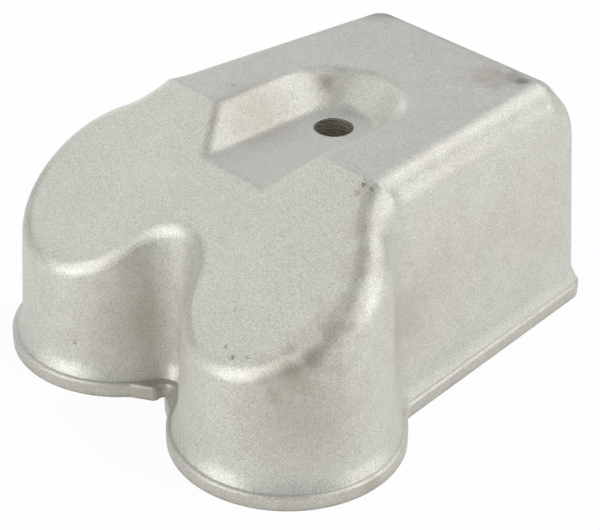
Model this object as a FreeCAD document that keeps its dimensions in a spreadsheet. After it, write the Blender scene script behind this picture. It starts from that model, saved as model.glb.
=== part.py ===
"""Rocker cover: one hollow aluminium casting, in millimetres.

The gasket face lies on z = 0 and the cover stands up from it along +Z. The part is the same left
and right of the plane x = 0. The two lobes are at the front, towards -Y, and the origin is under
the middle of the outline. The casting is its outer form less its core, as it is in the foundry,
and the core follows every outer face at the wall's thickness.
"""
import FreeCAD, Part
import math
import os

import Sketcher

SIZES = [
    # overall form
    ("cover_height", 57.2, "gasket face to flat roof"),
    ("wall_draft", 3.4, "degrees that every side wall leans in"),
    ("wall_thickness", 3.6, "casting wall, square to each face"),
    # plan of the side wall where it meets the gasket plane
    ("rear_edge", 57.4, "rear wall behind the origin"),
    ("rear_half_width", 32.0, "half the width at the rear wall"),
    ("side_flare", 5.8, "degrees that the sides spread towards the lobes"),
    ("waist_radius", 12.0, "hollow between side and lobe"),
    ("lobe_radius", 24.0, "plan radius of a lobe"),
    ("lobe_offset", 27.2, "lobe centre to the middle plane"),
    ("lobe_forward", 33.4, "lobe centre ahead of the origin"),
    ("notch_radius", 6.1, "hollow between the two lobes"),
    # roof
    ("crease_forward", 13.8, "crease between the flat and the sloping roof"),
    ("front_slope", 34.0, "degrees that the front roof falls"),
    ("bevel_edge", 47.8, "rear end of the flat roof"),
    ("rear_bevel", 47.0, "degrees that the rear bevel falls"),
    ("roof_edge_radius", 6.8, "rounding round the flat roof and the bevel"),
    ("slope_edge_radius", 6.0, "rounding round the sloping roof"),
    ("rear_corner_radius", 2.0, "upright corners at the rear"),
    ("core_chamfer", 2.5, "flat across the same edges inside the casting"),
    # recess in the roof and the bolt hole through its floor
    ("recess_depth", 7.0, "flat roof to recess floor"),
    ("recess_radius", 9.0, "half width of the recess floor"),
    ("recess_lean", 45.0, "degrees that the recess wall leans out from upright"),
    ("recess_rim_radius", 4.0, "rounding of the recess rim and of the lip in front"),
    ("recess_floor_radius", 4.0, "fillet round the recess floor"),
    ("bolt_rear", 6.1, "bolt axis behind the origin"),
    ("bolt_hole", 9.0, "diameter of the bolt hole"),
    ("boss_diameter", 18.0, "boss under the recess floor"),
    ("boss_length", 8.0, "boss below the casting wall"),
    # rim round the foot
    ("rim_width", 2.1, "rim beyond the side wall"),
    ("rim_height", 3.4, "thickness of the rim"),
    ("rim_corner_radius", 6.0, "rear corners of the rim"),
    ("rim_waist_radius", 4.9, "hollow of the rim between side and lobe"),
    ("rim_chamfer", 0.4, "upper edge of the rim"),
    ("flare_width", 1.3, "spread of the wall's foot over the rim"),
    ("flare_height", 3.6, "rise of the spread foot above the rim"),
    # two small ears of the rim, in the notch
    ("slot_ahead", 3.0, "wall in the notch to the deepest point of the slot between the ears"),
    ("slot_radius", 1.7, "round end of the slot"),
    ("ear_radius", 1.3, "rounded end of each ear"),
    ("ear_offset", 2.9, "centre of the ear's end to the middle plane"),
    ("ear_root_turn", 45.6, "degrees round the lobe where the ear's front has run into its rim"),
    ("ear_blend_radius", 3.0, "hollow between ear and lobe rim"),
]
SIZE = {alias: value for alias, value, _ in SIZES}

# ways of the sketcher: its origin and vertical axis, and the points of a line or an arc
Z_UP = FreeCAD.Vector(0, 0, 1)
ORIGIN_POINT = (-1, 1)
Y_AXIS_LINE = -2
START, END, CENTRE = 1, 2, 3

# where the wall stands in the notch
NOTCH_RULE = ("-(sizes.lobe_forward + sqrt((sizes.lobe_radius + sizes.notch_radius)^2"
              " - sizes.lobe_offset^2) - sizes.notch_radius)")
# how far a cut reaches beyond the part
CLEAR = 30
# how far a face looks up: a roof looks up by more than ROOF, and a wall by less than WALL
ROOF = 0.5
WALL = 0.2
# a height or a direction that is the same to within this counts as equal
FLUSH = 0.01
# the roof falls off along these edges by these angles, to the front and to the rear
FRONT, REAR = -1, 1
SLOPES = {FRONT: ("crease_forward", "front_slope"), REAR: ("bevel_edge", "rear_bevel")}


def vec(x, y):
    """Return a point of a sketch."""
    return FreeCAD.Vector(x, y, 0)


def mirrored(point):
    """Return the point's image in the middle plane."""
    return vec(-point.x, point.y)


def arc_between(centre, radius, first, last):
    """Return the arc that runs counter-clockwise from one point to another."""
    start = math.atan2(first.y - centre.y, first.x - centre.x)
    end = math.atan2(last.y - centre.y, last.x - centre.x)
    if end < start:
        end += 2 * math.pi
    return Part.ArcOfCircle(Part.Circle(centre, Z_UP, radius), start, end)


def sketch_on(body, name, role, height_rule=None):
    """Add a sketch on one of the body's origin planes, lifted off it by a rule."""
    sketch = body.newObject("Sketcher::SketchObject", name)
    plane = next(item for item in body.Origin.OriginFeatures if item.Role == role)
    sketch.AttachmentSupport = [(plane, "")]
    sketch.MapMode = "FlatFace"
    if height_rule:
        sketch.setExpression("AttachmentOffset.Base.z", height_rule)
    return sketch


def constrain(sketch, kind, *refs):
    """Add a geometric constraint."""
    sketch.addConstraint(Sketcher.Constraint(kind, *refs))


def dimension(sketch, rule, kind, *refs):
    """Add a dimension that follows a rule on the sheet; the last reference is its first value."""
    index = sketch.addConstraint(Sketcher.Constraint(kind, *refs))
    sketch.setExpression(f"Constraints[{index}]", rule)


def place(sketch, rule, axis, geometry, position, value):
    """Set a point's distance from the sketch's origin along X or Y, by a signed rule."""
    kind = f"Distance{axis}"
    if value < 0:
        dimension(sketch, f"-({rule})", kind, geometry, position, *ORIGIN_POINT, -value)
    else:
        dimension(sketch, rule, kind, *ORIGIN_POINT, geometry, position, value)


def draw_outline(sketch, points):
    """Draw a closed outline of straight lines, joined end to end."""
    for start, end in zip(points, points[1:] + points[:1]):
        sketch.addGeometry(Part.LineSegment(start, end), False)
    for index in range(len(points)):
        constrain(sketch, "Coincident", index, END, (index + 1) % len(points), START)


def upward(face):
    """Return how far a face looks up: 1 for a roof, 0 for an upright wall, -1 for a base."""
    u_min, u_max, v_min, v_max = face.ParameterRange
    return face.normalAt((u_min + u_max) / 2, (v_min + v_max) / 2).z


def edges_where(shape, test):
    """Name the edges that pass a test of their faces' tilts, the faces and their middle point."""
    names = []
    for index, edge in enumerate(shape.Edges, start=1):
        faces = shape.ancestorsOfType(edge, Part.Face)
        middle = edge.valueAt((edge.FirstParameter + edge.LastParameter) / 2)
        if len(faces) == 2 and test([upward(face) for face in faces], faces, middle):
            names.append(f"Edge{index}")
    return names


def soften_edges(body, kind, name, size_rule, test, **settings):
    """Fillet or chamfer the chosen edges of the body as it stands."""
    body.Document.recompute()
    base = body.Tip
    feature = body.newObject(f"PartDesign::{kind}", name)
    feature.Base = (base, edges_where(base.Shape, test))
    for setting, value in settings.items():
        setattr(feature, setting, value)
    feature.setExpression("Radius" if kind == "Fillet" else "Size", size_rule)
    body.Document.recompute()


def cut(body, kind, name, sketch, **settings):
    """Cut a sketch out of the body, and check that it removes something."""
    before = body.Shape.Volume
    feature = body.newObject(f"PartDesign::{kind}", name)
    feature.Profile = sketch
    for setting, value in settings.items():
        setattr(feature, setting, value)
    body.Document.recompute()
    if not feature.Shape.Volume < before:
        raise RuntimeError(f"{name} cuts nothing")


def combine(body, name, tool, kind):
    """Join the body with another one, by what they share or by what is left of the first."""
    feature = body.newObject("PartDesign::Boolean", name)
    feature.setObjects([tool])
    feature.Type = kind
    body.Document.recompute()


def add_wall_plan(body, name, inset, inset_rule, height_rule=None, waist_name=None):
    """Draw the closed plan of the side wall, moved in by an inset, and its waist too or by itself.

    The first positions come from the same sizes, and the constraints then hold the shape.
    """
    flare = math.radians(SIZE["side_flare"])
    along = vec(math.sin(flare), -math.cos(flare))
    outward = vec(math.cos(flare), math.sin(flare))
    narrower = inset * (1 - math.sin(flare)) / math.cos(flare)
    corner = vec(SIZE["rear_half_width"] - narrower, SIZE["rear_edge"] - inset)
    lobe = vec(SIZE["lobe_offset"], -SIZE["lobe_forward"])
    lobe_radius = SIZE["lobe_radius"] - inset
    waist_radius = SIZE[waist_name] if waist_name else SIZE["waist_radius"] + inset
    notch_radius = SIZE["notch_radius"] + inset

    # the waist arc touches the side line and the lobe
    reach = corner + outward * waist_radius - lobe
    half = reach.dot(along)
    run = -half - math.sqrt(half**2 - reach.dot(reach) + (lobe_radius + waist_radius) ** 2)
    waist = corner + outward * waist_radius + along * run
    side_end = corner + along * run
    lobe_start = lobe + (waist - lobe) * (lobe_radius / (lobe_radius + waist_radius))

    # the notch arc touches both lobes
    notch = vec(0, lobe.y - math.sqrt((lobe_radius + notch_radius) ** 2 - lobe.x**2))
    lobe_end = lobe + (notch - lobe) * (lobe_radius / (lobe_radius + notch_radius))

    sketch = sketch_on(body, name, "XY_Plane", height_rule)
    rear, side, hollow, lobe_arc, notch_arc, lobe_arc_l, hollow_l, side_l = range(8)
    sketch.addGeometry([
        Part.LineSegment(corner, mirrored(corner)),
        Part.LineSegment(corner, side_end),
        arc_between(waist, waist_radius, side_end, lobe_start),
        arc_between(lobe, lobe_radius, lobe_end, lobe_start),
        arc_between(notch, notch_radius, lobe_end, mirrored(lobe_end)),
        arc_between(mirrored(lobe), lobe_radius, mirrored(lobe_start), mirrored(lobe_end)),
        arc_between(mirrored(waist), waist_radius, mirrored(lobe_start), mirrored(side_end)),
        Part.LineSegment(mirrored(corner), mirrored(side_end)),
    ], False)

    constrain(sketch, "Coincident", rear, START, side, START)
    constrain(sketch, "Coincident", rear, END, side_l, START)
    constrain(sketch, "Symmetric", rear, START, rear, END, Y_AXIS_LINE)
    constrain(sketch, "Tangent", side, END, hollow, START)
    constrain(sketch, "Tangent", hollow, END, lobe_arc, END)
    constrain(sketch, "Tangent", lobe_arc, START, notch_arc, START)
    constrain(sketch, "Tangent", notch_arc, END, lobe_arc_l, END)
    constrain(sketch, "Tangent", lobe_arc_l, START, hollow_l, START)
    constrain(sketch, "Tangent", hollow_l, END, side_l, END)
    constrain(sketch, "PointOnObject", notch_arc, CENTRE, Y_AXIS_LINE)
    constrain(sketch, "Symmetric", lobe_arc, CENTRE, lobe_arc_l, CENTRE, Y_AXIS_LINE)
    constrain(sketch, "Symmetric", side, END, side_l, END, Y_AXIS_LINE)

    flare_rule = "(sizes.side_flare * 1 deg)"
    narrower_rule = f"({inset_rule}) * (1 - sin{flare_rule}) / cos{flare_rule}"
    place(sketch, f"sizes.rear_edge - ({inset_rule})", "Y", rear, START, corner.y)
    place(sketch, f"sizes.rear_half_width - {narrower_rule}", "X", rear, START, corner.x)
    dimension(sketch, "(sizes.side_flare - 90) * 1 deg", "Angle", side, flare - math.pi / 2)
    waist_rule = f"sizes.{waist_name}" if waist_name else f"sizes.waist_radius + ({inset_rule})"
    dimension(sketch, waist_rule, "Radius", hollow, waist_radius)
    dimension(sketch, f"sizes.lobe_radius - ({inset_rule})", "Radius", lobe_arc, lobe_radius)
    place(sketch, "sizes.lobe_offset", "X", lobe_arc, CENTRE, lobe.x)
    place(sketch, "-sizes.lobe_forward", "Y", lobe_arc, CENTRE, lobe.y)
    dimension(sketch, f"sizes.notch_radius + ({inset_rule})", "Radius", notch_arc, notch_radius)
    return sketch


def join_plans(foot, head):
    """Return the solid between two plans, with a plane over each line and a cone over each arc."""
    faces = [Part.Face(Part.Wire(foot.Edges)), Part.Face(Part.Wire(head.Edges))]
    for low, high in zip(foot.Edges, head.Edges):
        if isinstance(low.Curve, Part.Line):
            corners = [low.Vertexes[0].Point, low.Vertexes[1].Point, high.Vertexes[1].Point,
                       high.Vertexes[0].Point]
            faces.append(Part.Face(Part.makePolygon(corners + corners[:1])))
        else:
            faces.extend(Part.makeLoft([Part.Wire(low), Part.Wire(high)], False, True).Faces)
    shell = Part.Shell(faces)
    shell.sewShape()
    return Part.Solid(shell)


def raise_plans(body, name, foot_plan, head_plan):
    """Start a body with the solid between its two plans."""
    body.Document.recompute()
    solid = body.Document.addObject("Part::Feature", name)
    solid.Shape = join_plans(foot_plan.Shape, head_plan.Shape)
    body.BaseFeature = solid
    body.Document.recompute()


def add_walls(body, name, inset, inset_rule, head, head_rule):
    """Raise the leaning walls between a plan at the foot and a smaller one at the head."""
    lean = math.tan(math.radians(SIZE["wall_draft"]))
    head_inset_rule = f"({inset_rule}) + ({head_rule}) * tan(sizes.wall_draft * 1 deg)"
    foot_plan = add_wall_plan(body, f"{name}_foot_plan", inset, inset_rule)
    head_plan = add_wall_plan(body, f"{name}_head_plan", inset + head * lean, head_inset_rule, head_rule)
    raise_plans(body, f"{name}_walls", foot_plan, head_plan)


def cut_slope(body, name, inset, inset_rule, side):
    """Cut away what lies above the roof that falls to the front, or above the bevel at the rear."""
    edge_name, tilt_name = SLOPES[side]
    tilt = math.radians(SIZE[tilt_name])
    roof = SIZE["cover_height"] - inset
    edge = vec(side * (SIZE[edge_name] - inset * math.tan(tilt / 2)), roof)
    reach = SIZE["rear_edge"] + CLEAR
    low = vec(side * reach, roof - (reach - side * edge.x) * math.tan(tilt))
    high = vec(-side * reach, roof + (reach + side * edge.x) * math.tan(tilt))

    sketch = sketch_on(body, f"{name}_profile", "YZ_Plane")
    draw_outline(sketch, (low, high, vec(low.x, high.y)))
    slope, level, upright = range(3)
    on_edge = sketch.addGeometry(Part.Point(edge), True)
    constrain(sketch, "Horizontal", level)
    constrain(sketch, "Vertical", upright)
    constrain(sketch, "PointOnObject", on_edge, START, slope)
    angle_rule = f"sizes.{tilt_name} * 1 deg" if side == FRONT else f"(180 - sizes.{tilt_name}) * 1 deg"
    dimension(sketch, angle_rule, "Angle", slope, math.atan2(high.y - low.y, high.x - low.x))
    shift_rule = f"({inset_rule}) * tan(sizes.{tilt_name} * 0.5 deg)"
    place(sketch, f"{side} * (sizes.{edge_name} - {shift_rule})", "X", on_edge, START, edge.x)
    place(sketch, f"sizes.cover_height - ({inset_rule})", "Y", on_edge, START, edge.y)
    place(sketch, f"{side} * (sizes.rear_edge + {CLEAR})", "X", slope, START, low.x)
    place(sketch, f"-{side} * (sizes.rear_edge + {CLEAR})", "X", slope, END, high.x)
    body.Document.recompute()
    cut(body, "Pocket", name, sketch, Type="ThroughAll", SideType="Symmetric")


def is_roof_edge(tilts, faces, middle):
    """Tell the edges round the flat roof and the bevel."""
    return min(tilts) > -ROOF and max(tilts) > ROOF


def is_rear_corner(tilts, faces, middle):
    """Tell the upright corners at the rear."""
    return max(map(abs, tilts)) < WALL and middle.y > SIZE["bevel_edge"]


def is_slope_edge(tilts, faces, middle):
    """Tell the edges between the sloping roof and the walls."""
    return max(tilts) > ROOF and abs(min(tilts)) < ROOF


def add_form(document, name, inset, inset_rule, edge_kind, edge_rules):
    """Make the outer form, or the core inside it, as what a flat and a sloping body share.

    Each of the two has its edges softened by itself, so the crease between the roofs stays crisp.
    """
    flat = document.addObject("PartDesign::Body", name)
    roof = SIZE["cover_height"] - inset
    roof_rule = f"sizes.cover_height - ({inset_rule})"
    add_walls(flat, f"{name}_flat", inset, inset_rule, roof, roof_rule)
    cut_slope(flat, f"{name}_bevel", inset, inset_rule, REAR)
    roof_edge_rule, corner_rule, slope_edge_rule = edge_rules
    soften_edges(flat, edge_kind, f"{name}_roof_edges", roof_edge_rule, is_roof_edge)
    soften_edges(flat, edge_kind, f"{name}_rear_corners", corner_rule, is_rear_corner)

    sloping = document.addObject("PartDesign::Body", f"{name}_front")
    rise = (SIZE["rear_edge"] + SIZE["crease_forward"]) * math.tan(math.radians(SIZE["front_slope"]))
    rise_rule = "(sizes.rear_edge + sizes.crease_forward) * tan(sizes.front_slope * 1 deg)"
    add_walls(sloping, f"{name}_sloping", inset, inset_rule, roof + rise, f"{roof_rule} + {rise_rule}")
    cut_slope(sloping, f"{name}_slope", inset, inset_rule, FRONT)
    soften_edges(sloping, edge_kind, f"{name}_slope_edges", slope_edge_rule, is_slope_edge)

    combine(flat, f"{name}_shared", sloping, "Common")
    return flat


def add_recess(body, name, inset, inset_rule):
    """Cut the leaning recess: round behind the bolt and open to the front; the core gives it room."""
    lean = math.radians(SIZE["recess_lean"])
    lean_rule = "(sizes.recess_lean * 1 deg)"
    wall_angle_rule = "(90 - sizes.recess_lean) * 1 deg"
    floor = SIZE["cover_height"] - SIZE["recess_depth"] - inset
    floor_rule = f"sizes.cover_height - sizes.recess_depth - ({inset_rule})"
    half = SIZE["recess_radius"] + inset * (1 - math.sin(lean)) / math.cos(lean)
    half_rule = f"sizes.recess_radius + ({inset_rule}) * (1 - sin{lean_rule}) / cos{lean_rule}"
    top = SIZE["cover_height"] + CLEAR
    top_rule = f"sizes.cover_height + {CLEAR}"
    spread = (top - floor) * math.tan(lean)
    bolt = SIZE["bolt_rear"]

    turned = sketch_on(body, f"{name}_turned_profile", "YZ_Plane")
    floor_line, wall_line, top_line, axis_line = range(4)
    draw_outline(turned, (vec(bolt, floor), vec(bolt + half, floor), vec(bolt + half + spread, top),
                          vec(bolt, top)))
    constrain(turned, "Horizontal", floor_line)
    constrain(turned, "Horizontal", top_line)
    constrain(turned, "Vertical", axis_line)
    place(turned, "sizes.bolt_rear", "X", floor_line, START, bolt)
    place(turned, floor_rule, "Y", floor_line, START, floor)
    place(turned, f"sizes.bolt_rear + {half_rule}", "X", floor_line, END, bolt + half)
    dimension(turned, wall_angle_rule, "Angle", wall_line, math.pi / 2 - lean)
    place(turned, top_rule, "Y", top_line, START, top)
    body.Document.recompute()
    cut(body, "Groove", f"{name}_round_end", turned,
        ReferenceAxis=(turned, [f"Edge{axis_line + 1}"]), Angle=360)

    section = sketch_on(body, f"{name}_section", "XZ_Plane", "-sizes.bolt_rear")
    draw_outline(section, (vec(-half, floor), vec(half, floor), vec(half + spread, top),
                           vec(-half - spread, top)))
    constrain(section, "Symmetric", floor_line, START, floor_line, END, Y_AXIS_LINE)
    constrain(section, "Symmetric", top_line, START, top_line, END, Y_AXIS_LINE)
    place(section, floor_rule, "Y", floor_line, END, floor)
    place(section, half_rule, "X", floor_line, END, half)
    dimension(section, wall_angle_rule, "Angle", wall_line, math.pi / 2 - lean)
    place(section, top_rule, "Y", top_line, START, top)
    body.Document.recompute()
    cut(body, "Pocket", f"{name}_channel", section, Type="ThroughAll", SideType="One side", Reversed=True)


def add_recess_fillets(body):
    """Round the rim of the recess and the lip where its floor runs out, then the floor's edge."""
    floor = SIZE["cover_height"] - SIZE["recess_depth"]
    lean = math.radians(SIZE["recess_lean"])
    wall_tilt = math.sin(lean)
    half_width = SIZE["recess_radius"] + SIZE["recess_depth"] * math.tan(lean)
    slope_tilt = math.cos(math.radians(SIZE["front_slope"]))

    def joins(tilts, one, other):
        low, high = sorted((one, other))
        return abs(min(tilts) - low) < FLUSH and abs(max(tilts) - high) < FLUSH

    def is_rim(tilts, faces, middle):
        if middle.z < floor - FLUSH or abs(middle.x) > half_width + FLUSH:
            return False
        on_flat = joins(tilts, wall_tilt, 1) and middle.z > floor + FLUSH
        lip = joins(tilts, slope_tilt, 1) and middle.z < floor + FLUSH
        return on_flat or lip or joins(tilts, wall_tilt, slope_tilt)

    def is_floor_edge(tilts, faces, middle):
        return joins(tilts, wall_tilt, 1) and abs(middle.z - floor) < FLUSH

    soften_edges(body, "Fillet", "recess_rim", "sizes.recess_rim_radius", is_rim)
    soften_edges(body, "Fillet", "recess_floor_fillet", "sizes.recess_floor_radius", is_floor_edge)


def add_bolt_circle(body, name, diameter_name, height_rule):
    """Draw a circle round the bolt axis."""
    sketch = sketch_on(body, name, "XY_Plane", height_rule)
    bolt = SIZE["bolt_rear"]
    diameter = SIZE[diameter_name]
    circle = sketch.addGeometry(Part.Circle(vec(0, bolt), Z_UP, diameter / 2), False)
    constrain(sketch, "PointOnObject", circle, CENTRE, Y_AXIS_LINE)
    place(sketch, "sizes.bolt_rear", "Y", circle, CENTRE, bolt)
    dimension(sketch, f"sizes.{diameter_name}", "Diameter", circle, diameter)
    body.Document.recompute()
    return sketch


def add_core(document):
    """Make the hollow inside the casting, with room left for the recess and the bolt's boss."""
    core = add_form(document, "core", SIZE["wall_thickness"], "sizes.wall_thickness",
                    "Chamfer", ["sizes.core_chamfer"] * 3)
    add_recess(core, "core_recess", SIZE["wall_thickness"], "sizes.wall_thickness")
    circle = add_bolt_circle(core, "boss_plan", "boss_diameter", "sizes.cover_height")
    boss = core.newObject("PartDesign::Pocket", "boss_room")
    boss.Profile = circle
    boss.setExpression("Length", "sizes.recess_depth + sizes.wall_thickness + sizes.boss_length")
    document.recompute()
    return core


def add_rim_plate(body, name, sketch):
    """Raise a plan to the thickness of the rim."""
    plate = body.newObject("PartDesign::Pad", name)
    plate.Profile = sketch
    plate.setExpression("Length", "sizes.rim_height")
    body.Document.recompute()


def find_notch():
    """Return the point of the wall deepest in the notch."""
    reach = SIZE["lobe_radius"] + SIZE["notch_radius"]
    step = math.sqrt(reach**2 - SIZE["lobe_offset"] ** 2)
    return vec(0, -SIZE["lobe_forward"] - step + SIZE["notch_radius"])


def find_ear_root():
    """Return the point half way across the lobe's rim where the front of the ear ends."""
    turn = math.radians(SIZE["ear_root_turn"])
    lobe = vec(SIZE["lobe_offset"], -SIZE["lobe_forward"])
    return lobe - vec(math.cos(turn), math.sin(turn)) * (SIZE["lobe_radius"] + SIZE["rim_width"] / 2)


def add_ear_plan(body):
    """Draw the plan of the two small ears of the rim, and the slot between them, in the notch."""
    notch = find_notch()
    root = find_ear_root()
    slot = notch - vec(0, SIZE["slot_ahead"] + SIZE["slot_radius"])
    gap = SIZE["slot_radius"] + SIZE["ear_radius"]
    ear = slot + vec(SIZE["ear_offset"], -math.sqrt(gap**2 - SIZE["ear_offset"] ** 2))
    touch = slot + (ear - slot) * (SIZE["slot_radius"] / gap)
    front_turn = (math.atan2(root.y - ear.y, root.x - ear.x)
                  - math.acos(SIZE["ear_radius"] / root.distanceToPoint(ear)))
    front = ear + vec(math.cos(front_turn), math.sin(front_turn)) * SIZE["ear_radius"]
    back = vec(root.x, notch.y + SIZE["wall_thickness"] / 2)

    sketch = sketch_on(body, "ear_plan", "XY_Plane")
    slot_arc, end, face, flank, rear, flank_l, face_l, end_l = range(8)
    sketch.addGeometry([
        arc_between(slot, SIZE["slot_radius"], touch, mirrored(touch)),
        arc_between(ear, SIZE["ear_radius"], touch, front),
        Part.LineSegment(front, root),
        Part.LineSegment(root, back),
        Part.LineSegment(back, mirrored(back)),
        Part.LineSegment(mirrored(back), mirrored(root)),
        Part.LineSegment(mirrored(root), mirrored(front)),
        arc_between(mirrored(ear), SIZE["ear_radius"], mirrored(front), mirrored(touch)),
    ], False)

    constrain(sketch, "Tangent", slot_arc, START, end, START)
    constrain(sketch, "Tangent", end, END, face, START)
    constrain(sketch, "Coincident", face, END, flank, START)
    constrain(sketch, "Coincident", flank, END, rear, START)
    constrain(sketch, "Coincident", rear, END, flank_l, START)
    constrain(sketch, "Coincident", flank_l, END, face_l, START)
    constrain(sketch, "Tangent", face_l, END, end_l, START)
    constrain(sketch, "Tangent", end_l, END, slot_arc, END)
    constrain(sketch, "Vertical", flank)
    constrain(sketch, "Symmetric", rear, START, rear, END, Y_AXIS_LINE)
    constrain(sketch, "Symmetric", face, END, flank_l, END, Y_AXIS_LINE)
    constrain(sketch, "Symmetric", end, CENTRE, end_l, CENTRE, Y_AXIS_LINE)
    constrain(sketch, "PointOnObject", slot_arc, CENTRE, Y_AXIS_LINE)

    root_rule = "(sizes.lobe_radius + sizes.rim_width / 2)"
    place(sketch, f"{NOTCH_RULE} - sizes.slot_ahead - sizes.slot_radius", "Y", slot_arc, CENTRE, slot.y)
    dimension(sketch, "sizes.slot_radius", "Radius", slot_arc, SIZE["slot_radius"])
    dimension(sketch, "sizes.ear_radius", "Radius", end, SIZE["ear_radius"])
    place(sketch, "sizes.ear_offset", "X", end, CENTRE, ear.x)
    place(sketch, f"sizes.lobe_offset - {root_rule} * cos(sizes.ear_root_turn * 1 deg)",
          "X", flank, START, root.x)
    place(sketch, f"-sizes.lobe_forward - {root_rule} * sin(sizes.ear_root_turn * 1 deg)",
          "Y", flank, START, root.y)
    place(sketch, f"{NOTCH_RULE} + sizes.wall_thickness / 2", "Y", rear, START, back.y)
    return sketch


def add_rim(body):
    """Raise the thin rim round the foot with its ears, and soften the corners of its plan."""
    add_rim_plate(body, "rim", add_wall_plan(body, "rim_plan", -SIZE["rim_width"], "-sizes.rim_width",
                                             waist_name="rim_waist_radius"))

    def is_rim_corner(tilts, faces, middle):
        return is_rear_corner(tilts, faces, middle) and middle.z < SIZE["rim_height"]

    def is_ear_root(tilts, faces, middle):
        upright = middle.z < SIZE["rim_height"] and max(map(abs, tilts)) < WALL
        beside_ear = SIZE["ear_offset"] + SIZE["ear_radius"] < abs(middle.x) < find_ear_root().x
        return upright and beside_ear and middle.y < find_notch().y

    soften_edges(body, "Fillet", "rim_corners", "sizes.rim_corner_radius", is_rim_corner)
    add_rim_plate(body, "ears", add_ear_plan(body))
    soften_edges(body, "Fillet", "ear_blends", "sizes.ear_blend_radius", is_ear_root)


def finish_rim(body):
    """Take the sharpness off the rim's upper edge, and spread the foot of the wall over the rim."""
    rim = SIZE["rim_height"]

    def is_upper_edge(tilts, faces, middle):
        return abs(middle.z - rim) < FLUSH and min(face.CenterOfMass.z for face in faces) < rim - FLUSH

    def is_wall_foot(tilts, faces, middle):
        return abs(middle.z - rim) < FLUSH and max(face.CenterOfMass.z for face in faces) > rim + FLUSH

    soften_edges(body, "Chamfer", "rim_edge", "sizes.rim_chamfer", is_upper_edge)
    soften_edges(body, "Chamfer", "spread_foot", "sizes.flare_height", is_wall_foot,
                 ChamferType="Two distances", Size2=SIZE["flare_width"], FlipDirection=True)
    body.Tip.setExpression("Size2", "sizes.flare_width")
    body.Document.recompute()


def drill_bolt_hole(body):
    """Drill the bolt hole through the recess floor and the boss."""
    circle = add_bolt_circle(body, "bolt_plan", "bolt_hole", "sizes.cover_height - sizes.recess_depth")
    hole = body.newObject("PartDesign::Hole", "bolt_bore")
    hole.Profile = circle
    hole.DepthType = "ThroughAll"
    hole.setExpression("Diameter", "sizes.bolt_hole")
    body.Document.recompute()


def check(document, part):
    """Stop if any object failed or the part isn't one sound solid."""
    for item in document.Objects:
        if "Invalid" in item.State or "Error" in item.State:
            raise RuntimeError(f"{item.Name} failed: {item.State}")
    if part.Shape.isNull() or not part.Shape.isValid() or len(part.Shape.Solids) != 1:
        raise RuntimeError(f"{part.Label} is not one sound solid")


def main():
    """Build the cover and write it to its file."""
    document = FreeCAD.newDocument("RockerCover")
    sheet = document.addObject("Spreadsheet::Sheet", "sizes")
    for row, (alias, value, note) in enumerate(SIZES, start=1):
        sheet.set(f"A{row}", str(value))
        sheet.setAlias(f"A{row}", alias)
        sheet.set(f"B{row}", note)
    document.recompute()

    cover = add_form(document, "rocker_cover", 0.0, "0", "Fillet",
                     ["sizes.roof_edge_radius", "sizes.rear_corner_radius", "sizes.slope_edge_radius"])
    add_recess(cover, "recess", 0.0, "0")
    add_recess_fillets(cover)
    add_rim(cover)
    finish_rim(cover)
    combine(cover, "hollow", add_core(document), "Cut")
    drill_bolt_hole(cover)

    cover.Label = "rocker_cover"
    check(document, cover)
    os.makedirs("parts", exist_ok=True)
    cover.Shape.exportStep(f"parts/{cover.Label}.step")


main()
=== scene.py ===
"""Rocker cover: the finish of one aluminium casting, its stage, its light and its camera."""

import logging
import math
from dataclasses import dataclass, field
from enum import Enum
from typing import Any

import bmesh
import bpy
from mathutils import Matrix, Vector


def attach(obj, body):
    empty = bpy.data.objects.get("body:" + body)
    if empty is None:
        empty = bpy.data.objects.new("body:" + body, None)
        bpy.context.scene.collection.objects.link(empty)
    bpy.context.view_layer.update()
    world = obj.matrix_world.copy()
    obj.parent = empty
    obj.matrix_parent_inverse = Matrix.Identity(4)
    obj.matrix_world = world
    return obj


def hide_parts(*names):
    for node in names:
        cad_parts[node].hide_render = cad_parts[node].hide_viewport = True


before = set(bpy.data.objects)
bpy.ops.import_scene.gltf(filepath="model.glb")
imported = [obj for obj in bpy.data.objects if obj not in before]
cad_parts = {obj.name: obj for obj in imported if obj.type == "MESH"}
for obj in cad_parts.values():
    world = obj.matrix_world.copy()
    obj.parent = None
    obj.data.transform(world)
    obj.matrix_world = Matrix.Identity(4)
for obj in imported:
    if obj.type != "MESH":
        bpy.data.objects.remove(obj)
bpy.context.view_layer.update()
MM = 0.001
LOG = logging.getLogger("rocker_cover")

Point = tuple[float, float, float]
Socket = bpy.types.NodeSocket

# the colour sockets of a Mix node, whose kinds all share their sockets' names
MIX_SHARE, MIX_FIRST, MIX_SECOND, MIX_RESULT = 0, 6, 7, 2


class Tint(Enum):
    """Plain colours of the casting, of what has settled on it, of its painted shade and highlights,
    and of the stage.
    """

    METAL = (0.60, 0.593, 0.538, 1.0)
    ROOF = (0.585, 0.580, 0.553, 1.0)
    # HOLLOW also serves as the painted shade in the hollows
    HOLLOW = (0.36, 0.325, 0.27, 1.0)
    # dark pores and patches, and the painted shade in the closest corners
    DARK_AND_SHADE = (0.16, 0.145, 0.125, 1.0)
    # BROWN also serves as painted shade on the lobes and the walls of the bolt recess
    BROWN = (0.34, 0.285, 0.20, 1.0)
    # BRIGHT also serves as painted highlight on the outward edges and the recess lip
    BRIGHT = (0.80, 0.795, 0.775, 1.0)
    BORE = (0.42, 0.395, 0.32, 1.0)
    MILLED = (0.70, 0.70, 0.69, 1.0)
    FLOOR = (0.95, 0.95, 0.95, 1.0)
    WHITE = (1.0, 1.0, 1.0, 1.0)


@dataclass(frozen=True)
class Mark:
    """A stain, a pore, a bright rub, painted shade or a painted highlight at one place of the
    casting, in millimetres.
    """

    place: Point
    radius: float
    strength: float
    tint: Tint = Tint.DARK_AND_SHADE


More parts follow.
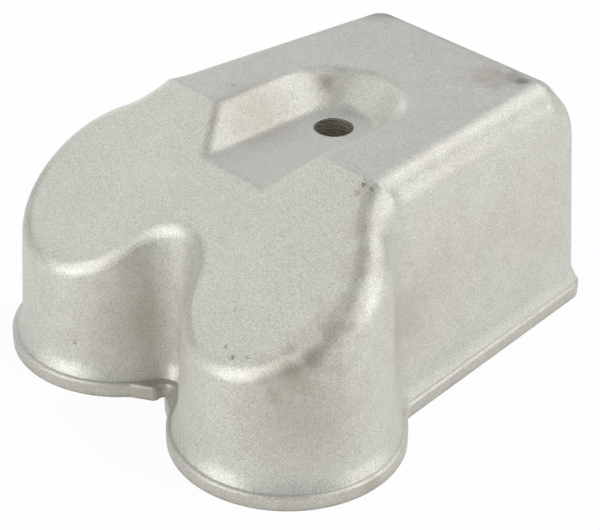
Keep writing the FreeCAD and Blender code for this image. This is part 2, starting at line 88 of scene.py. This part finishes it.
MARKS = (
    # dark patches at the rear corners of the roof
    Mark((-23.5, 45.0, 57.0), 5.0, 0.40),
    Mark((15.7, 40.3, 57.2), 10.0, 0.34, Tint.BROWN),
    Mark((19.8, 42.0, 57.2), 6.0, 0.30),
    Mark((22.8, 43.3, 57.2), 2.2, 0.65),
    # brown film and painted shade on the walls of the bolt recess, and a painted highlight on its lip
    Mark((-10.2, 14.0, 54.5), 5.5, 0.20, Tint.BROWN),
    Mark((-10.4, 14.6, 54.6), 3.0, 0.60, Tint.BROWN),
    Mark((-12.0, -6.0, 53.5), 14.0, 0.34, Tint.BROWN),
    Mark((10.2, 15.8, 56.2), 2.6, 0.5, Tint.BRIGHT),
    # painted shade: a dark brown reflection below the slope of the right lobe and down its wall
    Mark((31.0, -16.0, 55.7), 3.0, 0.40, Tint.BROWN),
    Mark((36.0, -21.0, 51.8), 5.5, 0.26, Tint.BROWN),
    Mark((41.5, -28.0, 47.0), 6.0, 0.22, Tint.BROWN),
    Mark((45.2, -37.0, 40.5), 7.5, 0.34, Tint.BROWN),
    Mark((45.5, -43.5, 35.5), 8.0, 0.40, Tint.BROWN),
    Mark((42.5, -49.0, 30.5), 9.0, 0.32, Tint.BROWN),
    Mark((45.5, -46.5, 22.0), 19.0, 0.34, Tint.BROWN),
    Mark((38.1, -10.7, 24.0), 16.0, 0.26, Tint.BROWN),
    # painted shade in brown on the left lobe beside the notch and on the rim in the notch
    Mark((-7.0, -44.5, 18.0), 20.0, 0.38, Tint.BROWN),
    Mark((-8.5, -45.0, 31.0), 7.0, 0.16, Tint.BROWN),
    Mark((-3.0, -47.0, 2.0), 5.0, 0.25, Tint.BROWN),
    # film and rubs on the right side, along the roof's right edge and on the roof
    Mark((42.0, 4.0, 30.0), 30.0, 0.16, Tint.BROWN),
    Mark((36.0, 40.0, 30.0), 28.0, 0.13, Tint.BROWN),
    Mark((31.5, 3.0, 55.5), 5.0, 0.10, Tint.BROWN),
    Mark((32.5, 12.0, 54.0), 7.0, 0.10, Tint.BROWN),
    Mark((32.0, 25.0, 53.0), 7.0, 0.07, Tint.BROWN),
    Mark((29.8, 44.5, 53.2), 0.9, 0.80, Tint.BRIGHT),
    Mark((29.9, 47.4, 51.3), 1.6, 0.15),
    Mark((-3.4, 33.6, 57.2), 0.6, 0.60, Tint.BRIGHT),
    # stain on the rim of the right lobe
    Mark((53.2, -34.0, 1.6), 4.0, 0.35, Tint.BROWN),
    # single pores
    Mark((28.0, -51.5, 31.8), 0.65, 0.75),
    Mark((31.1, -52.4, 31.1), 0.95, 0.85),
    Mark((34.0, -51.2, 32.0), 0.65, 0.65),
    Mark((23.9, -45.3, 36.0), 0.55, 0.60),
    Mark((30.0, -14.9, 56.4), 1.2, 0.80),
    Mark((30.2, -17.0, 55.1), 0.90, 0.70),
    Mark((32.2, -15.0, 56.2), 0.90, 0.60),
    Mark((-18.3, -54.9, 11.5), 0.90, 0.45),
    Mark((-19.9, -5.5, 57.2), 0.65, 0.75),
    Mark((-11.9, -18.0, 54.0), 0.65, 0.60),
    Mark((37.5, 24.1, 1.6), 0.6, 0.60),
    Mark((-44.5, -25.0, 50.0), 0.5, 0.65),
)


@dataclass(frozen=True)
class Span:
    """A smooth step: the range of numbers that is read, and the results at its two ends."""

    low: float
    high: float
    start: float = 0.0
    end: float = 1.0


@dataclass(frozen=True)
class Grain:
    """A soft noise: its lumps in a metre, its finer layers, and how strong they are."""

    scale: float
    layers: float = 2.0
    strength: float = 0.5


@dataclass
class NodeSheet:
    """A material's node tree, with short calls to fill it."""

    material: bpy.types.Material

    def add(self, kind: str, settings: dict[str, Any] | None = None, **inputs: Any) -> bpy.types.Node:
        """Add a node.

        Args:
            kind: The node's type.
            settings: Its own settings by name.
            **inputs: Values or sockets for its inputs, a blank in a name written as an underscore.

        Returns:
            The new node.
        """
        node = self.material.node_tree.nodes.new(f"ShaderNode{kind}")
        for name, value in (settings or {}).items():
            setattr(node, name, value)
        for name, value in inputs.items():
            self.feed(node.inputs[name.replace("_", " ")], value)
        return node

    def feed(self, socket: Socket, value: Any) -> None:
        """Link a socket to an input, or write a plain value on it.

        Args:
            socket: The input.
            value: The socket that it is linked to, or its plain value.
        """
        if isinstance(value, bpy.types.NodeSocket):
            self.material.node_tree.links.new(value, socket)
        else:
            socket.default_value = value

    def maths(self, operation: str, *values: Any) -> Socket:
        """Join numbers with one sum.

        Args:
            operation: The sum's name.
            *values: Its numbers or sockets, in order.

        Returns:
            The result's socket.
        """
        node = self.add("Math", {"operation": operation})
        for socket, value in zip(node.inputs, values):
            self.feed(socket, value)
        return node.outputs[0]

    def ramp(self, value: Socket, span: Span) -> Socket:
        """Turn one range of a number smoothly into another.

        Args:
            value: The number.
            span: The range and its results.

        Returns:
            The result's socket.
        """
        node = self.add("MapRange", {"interpolation_type": "SMOOTHSTEP"}, Value=value,
                        From_Min=span.low, From_Max=span.high, To_Min=span.start, To_Max=span.end)
        return node.outputs[0]

    def noise(self, where: Socket, grain: Grain) -> Socket:
        """Return a soft noise about one half.

        Args:
            where: The coordinates.
            grain: Its scale and its finer layers.

        Returns:
            The noise's socket.
        """
        node = self.add("TexNoise", Vector=where, Scale=grain.scale, Detail=grain.layers,
                        Roughness=grain.strength)
        return node.outputs["Fac"]

    def blend(self, share: Any, first: Any, second: Any, mode: str = "MIX") -> Socket:
        """Lay one colour over another.

        Args:
            share: How much of the second shows.
            first: The colour below.
            second: The colour above.
            mode: How they join.

        Returns:
            The result's socket.
        """
        node = self.add("Mix", {"data_type": "RGBA", "blend_type": mode})
        self.feed(node.inputs[MIX_SHARE], share)
        self.feed(node.inputs[MIX_FIRST], first)
        self.feed(node.inputs[MIX_SECOND], second)
        return node.outputs[MIX_RESULT]


@dataclass(frozen=True)
class Ground:
    """What the layers of the finish read: the place on the casting and the shared noises.

    flat is the mask of the level places, which blasting leaves smoother.
    """

    where: Socket
    across: Socket
    rearward: Socket
    height: Socket
    flat: Socket
    grain: Socket
    lumps: Socket
    patches: Socket
    swell: Socket


@dataclass(frozen=True)
class CastAluminium:
    """Shot-blasted cast aluminium: a satin grey skin with a fine grain, pores and old film, with
    painted shade in its hollows and painted highlights on its edges.
    """

    name: str = "cast_aluminium"
    marks: tuple[Mark, ...] = MARKS
    metallic: float = 0.7
    # the shared noises, from the finest to the broadest, and where the skin counts as level
    grain: Grain = Grain(4500.0, 1.0)
    lumps: Grain = Grain(2300.0)
    patches: Grain = Grain(260.0, 4.0, 0.6)
    swell: Grain = Grain(60.0, 3.0)
    level: Span = Span(0.982, 0.998)
    # tone of the bare metal
    grain_tone: Span = Span(0.3, 0.7, -0.26, 0.24)
    lump_tone: Span = Span(0.3, 0.7, -0.09, 0.09)
    swell_tone: Span = Span(0.3, 0.7, 0.975, 1.025)
    level_tone: Span = Span(0.0, 1.0, 1.0, 0.75)
    # rubbed outward edges, with a painted highlight along them
    rub_and_highlight_reach: float = 1.6 * MM
    rub_and_highlight_samples: int = 6
    rub_and_highlight_share: Span = Span(0.15, 0.55, 0.0, 0.22)
    rub_and_highlight_patches: Span = Span(0.35, 0.65, 0.4, 1.0)
    # painted shade with old film in the hollows, and painted dark shade in the closest corners
    shade_and_film_reach: float = 14.0 * MM
    shade_and_film_samples: int = 8
    shade_and_film_share: Span = Span(0.30, 0.78, 0.32, 0.0)
    shade_and_film_patches: Span = Span(0.3, 0.7, 0.6, 1.0)
    corner_shade_reach: float = 1.8 * MM
    corner_shade_share: Span = Span(0.45, 0.85, 0.25, 0.0)
    # film on the rim's edge, by the height above the gasket face
    rim_edge: Span = Span(2.4 * MM, 3.1 * MM, 1.0, 0.0)
    rim_patches: Span = Span(0.3, 0.7, 0.03, 0.25)
    # how far a mark's edge is frayed, as a share of its radius, and what counts as small or wide
    small_mark: float = 1.5
    wide_mark: float = 12.0
    small_fray: float = 0.7
    middle_fray: float = 0.35
    wide_fray: float = 0.15
    # scattered pores: cells in a metre, the share of them left whole, and a pore's slope
    pore_scale: float = 240.0
    pore_rarity: float = 0.88
    pore_slope: Span = Span(0.02, 0.075, 1.0, 0.0)
    pore_shade: float = 0.45
    # bolt hole
    bolt_rear: float = 6.1 * MM
    bore_radius: float = 4.6 * MM
    bore_top: float = 50.1 * MM
    bore_roughness: float = 0.20
    ridge_scale: float = 420.0
    ridge_wander: float = 9.0
    ridge_layers: float = 3.0
    ridge_layer_scale: float = 2.0
    ridge_shade: Span = Span(0.1, 0.9, 0.8, 0.0)
    # milled gasket face
    milled_top: float = 0.05 * MM
    milled_gloss: float = 0.10
    cutter_shift: Point = (0.0, 0.12, 0.0)
    track_scale: float = 260.0
    track_wander: float = 0.6
    track_layers: float = 1.0
    track_shade: float = 0.35
    # relief: the layers' shares of the fine bump, and both bumps' strengths and heights
    grain_relief: float = 0.5
    lump_relief: float = 0.9
    level_relief: Span = Span(0.0, 1.0, 1.0, 0.55)
    pore_relief: float = 0.8
    ridge_relief: float = 2.2
    track_relief: float = 0.12
    edge_softness: float = 0.6 * MM
    edge_samples: int = 6
    fine_strength: float = 0.6
    fine_height: float = 0.11 * MM
    broad_strength: float = 0.15
    broad_height: float = 1.0 * MM
    # roughness from patch to patch
    roughness: Span = Span(0.3, 0.7, 0.43, 0.52)

    def build(self) -> bpy.types.Material:
        """Make the material, layer by layer.

        Returns:
            The finished material.
        """
        material = bpy.data.materials.new(self.name)
        material.use_nodes = True
        sheet = NodeSheet(material)
        ground = self.lay_ground(sheet)
        colour = self.skin_colour(sheet, ground)
        colour = self.worn_and_highlit_edges(sheet, ground, colour)
        colour = self.hollow_shade_and_film(sheet, ground, colour)
        colour = self.rim_film(sheet, ground, colour)
        colour = self.lay_marks(sheet, ground, colour)
        colour, pits = self.lay_pores(sheet, ground, colour)
        colour, bore, ridges = self.bore_colour(sheet, ground, colour)
        colour, milled, tracks = self.milled_colour(sheet, ground, colour)
        shader = material.node_tree.nodes["Principled BSDF"]
        sheet.feed(shader.inputs["Base Color"], colour)
        sheet.feed(shader.inputs["Roughness"], self.satin(sheet, ground, bore, milled))
        sheet.feed(shader.inputs["Normal"], self.relief(sheet, ground, pits, ridges, milled, tracks))
        shader.inputs["Metallic"].default_value = self.metallic
        return material

    def lay_ground(self, sheet: NodeSheet) -> Ground:
        """Read the place on the casting and make the noises that the layers share.

        Args:
            sheet: The material's sheet.

        Returns:
            The shared sockets.
        """
        places = sheet.add("TexCoord").outputs
        where = places["Object"]
        across, rearward, height = sheet.add("SeparateXYZ", Vector=where).outputs
        upward = sheet.add("SeparateXYZ", Vector=places["Normal"]).outputs["Z"]
        return Ground(where, across, rearward, height, sheet.ramp(upward, self.level),
                      sheet.noise(where, self.grain), sheet.noise(where, self.lumps),
                      sheet.noise(where, self.patches), sheet.noise(where, self.swell))

    def skin_colour(self, sheet: NodeSheet, ground: Ground) -> Socket:
        """Vary the bare metal from speck to speck and from patch to patch.

        Args:
            sheet: The material's sheet.
            ground: The shared sockets.

        Returns:
            The colour's socket.
        """
        specks = sheet.maths("ADD", sheet.ramp(ground.grain, self.grain_tone),
                             sheet.ramp(ground.lumps, self.lump_tone))
        specks = sheet.maths("MULTIPLY", specks, sheet.ramp(ground.flat, self.level_tone))
        shade = sheet.maths("ADD", specks, sheet.ramp(ground.swell, self.swell_tone))
        tone = sheet.add("CombineColor", Red=shade, Green=shade, Blue=shade).outputs[0]
        bare = sheet.blend(ground.flat, Tint.METAL.value, Tint.ROOF.value)
        return sheet.blend(1.0, bare, tone, "MULTIPLY")

    def worn_and_highlit_edges(self, sheet: NodeSheet, ground: Ground, colour: Socket) -> Socket:
        """Paint a highlight along the outward edges, which handling also rubs bright.

        Args:
            sheet: The material's sheet.
            ground: The shared sockets.
            colour: The colour so far.

        Returns:
            The new colour's socket.
        """
        settings = {"samples": self.rub_and_highlight_samples, "inside": True, "only_local": True}
        inner = sheet.add("AmbientOcclusion", settings, Distance=self.rub_and_highlight_reach).outputs["AO"]
        # rub: the painted edge highlight, together with the rubbed skin
        rub = sheet.maths("MULTIPLY", sheet.ramp(inner, self.rub_and_highlight_share),
                          sheet.ramp(ground.patches, self.rub_and_highlight_patches))
        return sheet.blend(rub, colour, Tint.BRIGHT.value)

    def hollow_shade_and_film(self, sheet: NodeSheet, ground: Ground, colour: Socket) -> Socket:
        """Paint shade into the hollows, in the brown of the old film that stays where blasting
        reaches less, and darker shade into the closest corners.

        Args:
            sheet: The material's sheet.
            ground: The shared sockets.
            colour: The colour so far.

        Returns:
            The new colour's socket.
        """
        settings = {"samples": self.shade_and_film_samples}
        wide = sheet.add("AmbientOcclusion", settings, Distance=self.shade_and_film_reach).outputs["AO"]
        # film: painted shade in the hollows, tinted like the old film
        film = sheet.maths("MULTIPLY", sheet.ramp(wide, self.shade_and_film_share),
                           sheet.ramp(ground.patches, self.shade_and_film_patches))
        colour = sheet.blend(film, colour, Tint.HOLLOW.value)
        # painted dark shade in the closest corners and creases
        close = sheet.add("AmbientOcclusion", settings, Distance=self.corner_shade_reach).outputs["AO"]
        return sheet.blend(sheet.ramp(close, self.corner_shade_share), colour, Tint.DARK_AND_SHADE.value)

    def rim_film(self, sheet: NodeSheet, ground: Ground, colour: Socket) -> Socket:
        """Leave a thin film on the rim's edge.

        Args:
            sheet: The material's sheet.
            ground: The shared sockets.
            colour: The colour so far.

        Returns:
            The new colour's socket.
        """
        share = sheet.maths("MULTIPLY", sheet.ramp(ground.height, self.rim_edge),
                            sheet.ramp(ground.patches, self.rim_patches))
        return sheet.blend(share, colour, Tint.HOLLOW.value)

    def lay_marks(self, sheet: NodeSheet, ground: Ground, colour: Socket) -> Socket:
        """Lay the stains, the rubs, the painted shade and highlights, and the single pores at their
        places on the casting.

        The lumps fray a small mark's edge, and the patches a larger one's.

        Args:
            sheet: The material's sheet.
            ground: The shared sockets.
            colour: The colour so far.

        Returns:
            The new colour's socket.
        """
        for mark in self.marks:
            noise, fray = ground.patches, self.middle_fray
            if mark.radius < self.small_mark:
                noise, fray = ground.lumps, self.small_fray
            elif mark.radius >= self.wide_mark:
                fray = self.wide_fray
            radius = mark.radius * MM
            gap = sheet.add("VectorMath", {"operation": "DISTANCE"})
            sheet.feed(gap.inputs[0], ground.where)
            sheet.feed(gap.inputs[1], tuple(side * MM for side in mark.place))
            ragged = sheet.ramp(noise, Span(0.2, 0.8, -radius * fray, radius * fray))
            reach = sheet.maths("ADD", gap.outputs["Value"], ragged)
            share = sheet.ramp(reach, Span(0.0, radius, mark.strength, 0.0))
            colour = sheet.blend(share, colour, mark.tint.value)
        return colour

    def lay_pores(self, sheet: NodeSheet, ground: Ground, colour: Socket) -> tuple[Socket, Socket]:
        """Scatter a few fine pores over the skin.

        Args:
            sheet: The material's sheet.
            ground: The shared sockets.
            colour: The colour so far.

        Returns:
            The new colour's socket and the pores' depth.
        """
        cells = sheet.add("TexVoronoi", Vector=ground.where, Scale=self.pore_scale).outputs
        chance = sheet.add("SeparateColor", Color=cells["Color"]).outputs[0]
        pits = sheet.maths("MULTIPLY", sheet.ramp(cells["Distance"], self.pore_slope),
                           sheet.maths("GREATER_THAN", chance, self.pore_rarity))
        share = sheet.maths("MULTIPLY", pits, self.pore_shade)
        return sheet.blend(share, colour, Tint.DARK_AND_SHADE.value), pits

    def bore_colour(self, sheet: NodeSheet, ground: Ground,
                    colour: Socket) -> tuple[Socket, Socket, Socket]:
        """Darken the bolt hole and give it its uneven ridges.

        Args:
            sheet: The material's sheet.
            ground: The shared sockets.
            colour: The colour so far.

        Returns:
            The new colour's socket, the hole's mask and the ridges' height.
        """
        behind = sheet.maths("SUBTRACT", ground.rearward, self.bolt_rear)
        square = sheet.maths("ADD", sheet.maths("MULTIPLY", ground.across, ground.across),
                             sheet.maths("MULTIPLY", behind, behind))
        bore = sheet.maths("MULTIPLY",
                           sheet.maths("LESS_THAN", sheet.maths("SQRT", square), self.bore_radius),
                           sheet.maths("LESS_THAN", ground.height, self.bore_top))
        wave = sheet.add("TexWave", {"wave_type": "BANDS", "bands_direction": "Z"},
                         Vector=ground.where, Scale=self.ridge_scale, Distortion=self.ridge_wander,
                         Detail=self.ridge_layers, Detail_Scale=self.ridge_layer_scale).outputs["Fac"]
        dark = sheet.blend(sheet.ramp(wave, self.ridge_shade), Tint.BORE.value, Tint.DARK_AND_SHADE.value)
        return sheet.blend(bore, colour, dark), bore, sheet.maths("MULTIPLY", wave, bore)

    def milled_colour(self, sheet: NodeSheet, ground: Ground,
                      colour: Socket) -> tuple[Socket, Socket, Socket]:
        """Give the gasket face its milled skin, with the cutter's fine curved tracks.

        Args:
            sheet: The material's sheet.
            ground: The shared sockets.
            colour: The colour so far.

        Returns:
            The new colour's socket, the face's mask and the tracks' height.
        """
        milled = sheet.maths("LESS_THAN", ground.height, self.milled_top)
        moved = sheet.add("Mapping", Vector=ground.where, Location=self.cutter_shift).outputs[0]
        wave = sheet.add("TexWave", {"wave_type": "RINGS", "rings_direction": "Z"}, Vector=moved,
                         Scale=self.track_scale, Distortion=self.track_wander,
                         Detail=self.track_layers).outputs["Fac"]
        bright = sheet.blend(sheet.maths("MULTIPLY", wave, self.track_shade), Tint.MILLED.value,
                             Tint.METAL.value)
        return sheet.blend(milled, colour, bright), milled, sheet.maths("MULTIPLY", wave, milled)

    def satin(self, sheet: NodeSheet, ground: Ground, bore: Socket, milled: Socket) -> Socket:
        """Make the skin satin, the gasket face glossier and the bolt hole rougher.

        Args:
            sheet: The material's sheet.
            ground: The shared sockets.
            bore: The bolt hole's mask.
            milled: The gasket face's mask.

        Returns:
            The roughness's socket.
        """
        rough = sheet.maths("SUBTRACT", sheet.ramp(ground.patches, self.roughness),
                            sheet.maths("MULTIPLY", milled, self.milled_gloss))
        return sheet.maths("ADD", rough, sheet.maths("MULTIPLY", bore, self.bore_roughness))

    def relief(self, sheet: NodeSheet, ground: Ground, pits: Socket, ridges: Socket, milled: Socket,
               tracks: Socket) -> Socket:
        """Join the layers' heights into a fine and a broad bump over softened edges.

        Args:
            sheet: The material's sheet.
            ground: The shared sockets.
            pits: The pores' depth.
            ridges: The height of the bolt hole's ridges.
            milled: The gasket face's mask, where the cast skin is gone.
            tracks: The height of the cutter's tracks.

        Returns:
            The normal's socket.
        """
        cast = sheet.maths("ADD", sheet.maths("MULTIPLY", ground.grain, self.grain_relief),
                           sheet.maths("MULTIPLY", ground.lumps, self.lump_relief))
        cast = sheet.maths("MULTIPLY", cast, sheet.ramp(ground.flat, self.level_relief))
        cast = sheet.maths("SUBTRACT", cast, sheet.maths("MULTIPLY", pits, self.pore_relief))
        cast = sheet.maths("ADD", cast, sheet.maths("MULTIPLY", ridges, self.ridge_relief))
        cast = sheet.maths("MULTIPLY", cast, sheet.maths("SUBTRACT", 1.0, milled))
        height = sheet.maths("ADD", cast, sheet.maths("MULTIPLY", tracks, self.track_relief))
        soft = sheet.add("Bevel", {"samples": self.edge_samples}, Radius=self.edge_softness)
        fine = sheet.add("Bump", Strength=self.fine_strength, Distance=self.fine_height,
                         Height=height, Normal=soft.outputs[0])
        broad = sheet.add("Bump", Strength=self.broad_strength, Distance=self.broad_height,
                          Height=ground.swell, Normal=fine.outputs[0])
        return broad.outputs[0]


@dataclass
class RockerCover:
    """The one casting, as the frame gives it, in its finish."""

    node: str = "rocker_cover"
    weld_gap: float = 0.002 * MM
    fold_angle: float = 24.0
    shading_weight: int = 50
    finish: CastAluminium = field(default_factory=CastAluminium)

    def dress(self) -> None:
        """Copy the frame's solid, join its loose triangles, smooth it and give it its finish."""
        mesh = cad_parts[self.node].data.copy()
        mesh.name = "cover_skin"
        skin = bpy.data.objects.new("cover_skin", mesh)
        bpy.context.scene.collection.objects.link(skin)
        work = bmesh.new()
        work.from_mesh(mesh)
        bmesh.ops.remove_doubles(work, verts=work.verts, dist=self.weld_gap)
        for face in work.faces:
            face.smooth = True
        for edge in work.edges:
            if len(edge.link_faces) == 2:
                edge.smooth = edge.calc_face_angle() < math.radians(self.fold_angle)
        work.to_mesh(mesh)
        work.free()
        mesh.materials.clear()
        mesh.materials.append(self.finish.build())
        weights = skin.modifiers.new("even_shading", "WEIGHTED_NORMAL")
        weights.keep_sharp = True
        weights.weight = self.shading_weight
        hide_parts(self.node)
        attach(skin, "root")
        LOG.info("cover skin: %d faces", len(mesh.polygons))


@dataclass
class Stage:
    """The white ground that the cover stands on, and the room round it."""

    size: float = 4.0
    drop: float = 0.02 * MM
    paper_roughness: float = 0.9
    whiteness: float = 0.93
    shine: float = 0.4
    room_light: float = 0.22

    def build(self) -> None:
        """Lay the floor and light the room."""
        work = bmesh.new()
        bmesh.ops.create_grid(work, x_segments=1, y_segments=1, size=self.size / 2,
                              matrix=Matrix.Translation((0.0, 0.0, -self.drop)))
        mesh = bpy.data.meshes.new("floor")
        work.to_mesh(mesh)
        work.free()
        floor = bpy.data.objects.new("floor", mesh)
        bpy.context.scene.collection.objects.link(floor)
        mesh.materials.append(self.paper())
        world = bpy.data.worlds.new("studio")
        world.use_nodes = True
        room = world.node_tree.nodes["Background"]
        room.inputs["Color"].default_value = Tint.WHITE.value
        room.inputs["Strength"].default_value = self.room_light
        bpy.context.scene.world = world
        LOG.info("stage: floor of %.1f m", self.size)

    def paper(self) -> bpy.types.Material:
        """Make the white paper, which glows a little towards the lens and in the metal.

        Returns:
            The paper's material.
        """
        material = bpy.data.materials.new("paper")
        material.use_nodes = True
        sheet = NodeSheet(material)
        plain = material.node_tree.nodes["Principled BSDF"]
        plain.inputs["Base Color"].default_value = Tint.FLOOR.value
        plain.inputs["Roughness"].default_value = self.paper_roughness
        glow = sheet.add("Emission", Color=Tint.WHITE.value, Strength=1.0)
        light = sheet.add("LightPath").outputs
        mirrored = sheet.maths("MAXIMUM", light["Is Glossy Ray"], light["Is Transmission Ray"])
        seen = sheet.maths("MAXIMUM", sheet.maths("MULTIPLY", light["Is Camera Ray"], self.whiteness),
                           sheet.maths("MULTIPLY", mirrored, self.shine))
        mix = sheet.add("MixShader")
        for socket, part in zip(mix.inputs, (seen, plain.outputs[0], glow.outputs[0])):
            sheet.feed(socket, part)
        sheet.feed(material.node_tree.nodes["Material Output"].inputs["Surface"], mix.outputs[0])
        return material


def outward(azimuth: float, elevation: float) -> Vector:
    """Point from the cover towards a lamp or the camera.

    Args:
        azimuth: Degrees from the front, -Y, towards the right, +X.
        elevation: Degrees above the floor.

    Returns:
        The direction, one long.
    """
    turn, rise = math.radians(azimuth), math.radians(elevation)
    return Vector((math.sin(turn) * math.cos(rise), -math.cos(turn) * math.cos(rise), math.sin(rise)))


@dataclass
class SoftBox:
    """A square soft lamp, placed round the cover by its bearing and its height above it."""

    name: str
    azimuth: float
    elevation: float
    size: float
    energy: float
    distance: float = 0.9
    aim: Point = (0.0, 0.0, 0.025)

    def hang(self) -> None:
        """Hang the lamp and turn it to the cover."""
        away = outward(self.azimuth, self.elevation)
        data = bpy.data.lights.new(self.name, "AREA")
        data.size = self.size
        data.energy = self.energy
        lamp = bpy.data.objects.new(self.name, data)
        lamp.location = Vector(self.aim) + away * self.distance
        lamp.rotation_euler = (-away).to_track_quat("-Z", "Y").to_euler()
        bpy.context.scene.collection.objects.link(lamp)
        LOG.info("lamp %s: %.2f W", self.name, self.energy)


@dataclass
class PhotoCamera:
    """The camera, where the photograph was taken from, in degrees, millimetres and pixels."""

    azimuth: float = 45.881
    elevation: float = 32.076
    roll: float = 0.742
    distance: float = 454.442
    target: Point = (0.757, -4.539, 18.840)
    focal_pixels: float = 1995.391
    frame_width: int = 600
    sensor_width: float = 36.0
    nearest: float = 10.0

    def build(self) -> None:
        """Make the camera and look through it."""
        back, roll = outward(self.azimuth, self.elevation), math.radians(self.roll)
        right = (-back).cross(Vector((0, 0, 1))).normalized()
        up = right.cross(-back)
        turned_right = right * math.cos(roll) + up * math.sin(roll)
        turned_up = up * math.cos(roll) - right * math.sin(roll)
        data = bpy.data.cameras.new("photo_camera")
        data.sensor_fit = "HORIZONTAL"
        data.sensor_width = self.sensor_width
        data.lens = self.focal_pixels / self.frame_width * self.sensor_width
        data.clip_start = self.nearest * MM
        camera = bpy.data.objects.new("photo_camera", data)
        bpy.context.scene.collection.objects.link(camera)
        turn = Matrix((turned_right, turned_up, back)).transposed().to_4x4()
        turn.translation = (Vector(self.target) + back * self.distance) * MM
        camera.matrix_world = turn
        bpy.context.scene.camera = camera
        LOG.info("camera: %.1f mm away", self.distance)


LAMPS = (
    SoftBox("front_bank", -12.0, 12.0, 0.4, 2.5),
    SoftBox("front_high", 0.0, 40.0, 0.45, 1.3),
    SoftBox("right_bank", 118.0, 14.0, 0.5, 2.45),
    SoftBox("right_high", 104.0, 50.0, 0.4, 1.45),
    SoftBox("rear_bank", 170.0, 48.0, 0.5, 1.95),
    SoftBox("right_rear_bank", 145.0, 28.0, 0.5, 0.35),
    SoftBox("left_bank", -70.0, 45.0, 0.6, 1.3),
    SoftBox("left_rear_bank", -108.0, 14.0, 0.45, 0.9),
    SoftBox("rear_left_bank", -136.0, 31.0, 0.45, 0.52),
)


def main() -> None:
    """Build the stage, the casting, the lamps and the camera."""
    logging.basicConfig(level=logging.INFO)
    bpy.context.scene.view_settings.view_transform = "Standard"
    Stage().build()
    RockerCover().dress()
    for lamp in LAMPS:
        lamp.hang()
    PhotoCamera().build()


if __name__ == "__main__":
    main()
